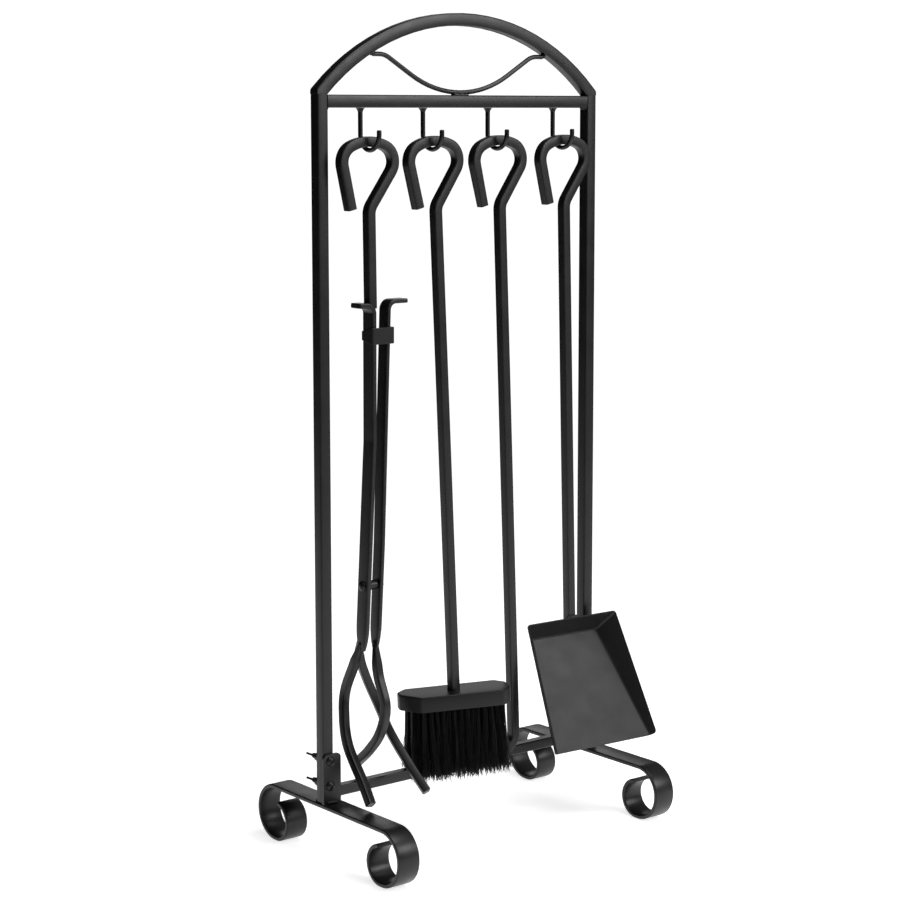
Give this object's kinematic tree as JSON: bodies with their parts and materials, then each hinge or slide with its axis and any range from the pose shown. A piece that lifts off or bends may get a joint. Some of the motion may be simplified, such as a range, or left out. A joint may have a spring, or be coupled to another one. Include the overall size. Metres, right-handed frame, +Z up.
{
  "type": "fireplace tool set",
  "caption": "Black steel stand on scroll feet with an arched top, and tongs, a brush, a poker and a shovel hanging from wire hooks by bent loop handles.",
  "frame": {"origin": "on the floor, midway between the posts and on their centre plane", "axes": "+Z up, +X to the right across the stand, -Y to the front, where the tools hang"},
  "size_m": [0.3614, 0.2292, 0.799],
  "materials": {
    "frame_black": "satin powder coat",
    "tool_black": "satin powder coat",
    "pan_black": "satin powder coat",
    "fastener_black": "black oxide",
    "head_black": "satin black paint",
    "bristle_black": "matte fibre"
  },
  "bodies": {
    "stand": {"left_post": "frame_black", "left_foot": "frame_black", "left_bracket_plate": "frame_black", "left_lower_screw": "fastener_black", "left_lower_wing_nut": "fastener_black", "left_upper_screw": "fastener_black", "left_upper_wing_nut": "fastener_black", "right_post": "frame_black", "right_foot": "frame_black", "right_bracket_plate": "frame_black", "right_lower_screw": "fastener_black", "right_lower_wing_nut": "fastener_black", "right_upper_screw": "fastener_black", "right_upper_wing_nut": "fastener_black", "arch": "frame_black", "top_crossbar": "frame_black", "lower_crossbar": "frame_black", "wave_rod": "frame_black", "hook_1": "frame_black", "hook_2": "frame_black", "hook_3": "frame_black", "hook_4": "frame_black"},
    "tongs": {"tongs_handle": "tool_black", "tongs_fixed_leg": "tool_black", "tongs_rivet": "tool_black", "tongs_strap": "tool_black"},
    "tongs_moving_arm": {"tongs_arm": "tool_black"},
    "brush": {"brush_shaft": "tool_black", "brush_head": "head_black", "brush_bristles": "bristle_black"},
    "poker": {"poker_bar": "tool_black"},
    "shovel": {"shovel_shaft": "tool_black", "shovel_pan": "pan_black"}
  },
  "joints": [
    {"name": "tongs_lift_off", "type": "slide", "parent": "stand", "child": "tongs", "axis": [0, -0.3746, 0.9272], "range_m": [0, 0.12]},
    {"name": "brush_lift_off", "type": "slide", "parent": "stand", "child": "brush", "axis": [0, -0.3746, 0.9272], "range_m": [0, 0.12]},
    {"name": "poker_lift_off", "type": "slide", "parent": "stand", "child": "poker", "axis": [0.0698, -0.3737, 0.9249], "range_m": [0, 0.12]},
    {"name": "shovel_lift_off", "type": "slide", "parent": "stand", "child": "shovel", "axis": [0, -0.3746, 0.9272], "range_m": [0, 0.12]},
    {"name": "tongs_open", "type": "hinge", "parent": "tongs", "child": "tongs_moving_arm", "pos_m": [-0.1194, -0.0145, 0.262], "axis": [-1, 0, 0], "range_deg": [0, 25]}
  ]
}
